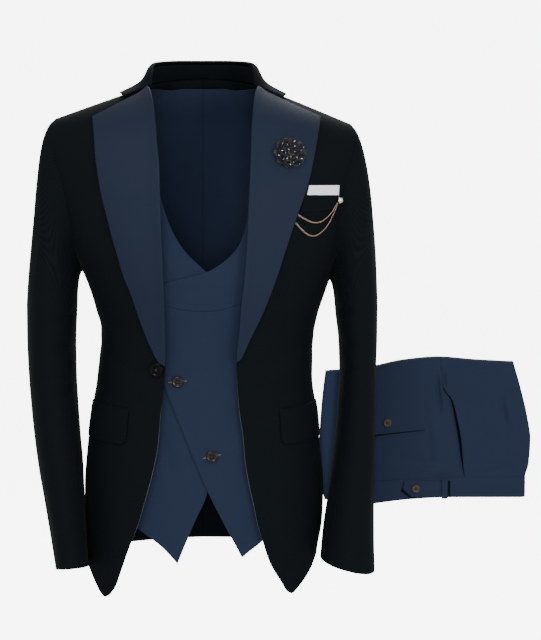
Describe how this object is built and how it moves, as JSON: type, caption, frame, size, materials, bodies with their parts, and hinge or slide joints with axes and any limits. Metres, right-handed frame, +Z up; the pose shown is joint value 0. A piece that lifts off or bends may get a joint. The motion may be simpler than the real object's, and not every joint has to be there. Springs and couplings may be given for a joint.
{
  "type": "three-piece suit",
  "caption": "Open peak-lapel jacket over a crossed waistcoat, both hollow as worn, with the trousers folded flat beside the left sleeve.",
  "frame": {"origin": "middle of the neck, at the height where the shoulder seams meet it", "axes": "+X to the wearer's left, +Y behind the wearer, +Z up along the neck"},
  "size_m": [0.7147, 0.2374, 0.7416],
  "materials": {
    "black_worsted": "fine dark weave",
    "navy_facing": "smooth satin facing",
    "navy_worsted": "smooth cloth",
    "dark_horn": "polished",
    "grey_horn": "satin",
    "white_linen": "pressed linen",
    "gilt_chain": "polished",
    "black_ribbon": "satin ribbon"
  },
  "bodies": {
    "root": {"chain_lower": "gilt_chain", "chain_stud": "gilt_chain", "chain_upper": "gilt_chain", "jacket_back_left": "black_worsted", "jacket_back_right": "black_worsted", "jacket_breast_welt": "black_worsted", "jacket_button": "dark_horn", "jacket_collar_leaf": "black_worsted", "jacket_collar_stand": "black_worsted", "jacket_flap_left": "black_worsted", "jacket_flap_right": "black_worsted", "jacket_front_left": "black_worsted", "jacket_front_right": "black_worsted", "jacket_lapel_left": "navy_facing", "jacket_lapel_right": "navy_facing", "jacket_side_left": "black_worsted", "jacket_side_right": "black_worsted", "jacket_top_sleeve_left": "black_worsted", "jacket_top_sleeve_right": "black_worsted", "jacket_under_sleeve_left": "black_worsted", "jacket_under_sleeve_right": "black_worsted", "lapel_flower": "black_ribbon", "pocket_square": "white_linen", "trousers_back_panel": "navy_worsted", "trousers_back_pocket_button": "grey_horn", "trousers_back_pocket_welt": "navy_worsted", "trousers_belt_loop": "navy_worsted", "trousers_front_panel": "navy_worsted", "trousers_hip_layers": "navy_worsted", "trousers_leg_layers": "navy_worsted", "trousers_tab": "navy_worsted", "trousers_tab_button": "grey_horn", "trousers_waistband": "navy_worsted", "vest_back_left": "navy_worsted", "vest_back_right": "navy_worsted", "vest_button_1": "dark_horn", "vest_button_2": "dark_horn", "vest_front_left_skirt": "navy_worsted", "vest_front_left_yoke": "navy_worsted", "vest_front_right": "navy_worsted"}
  },
  "joints": []
}
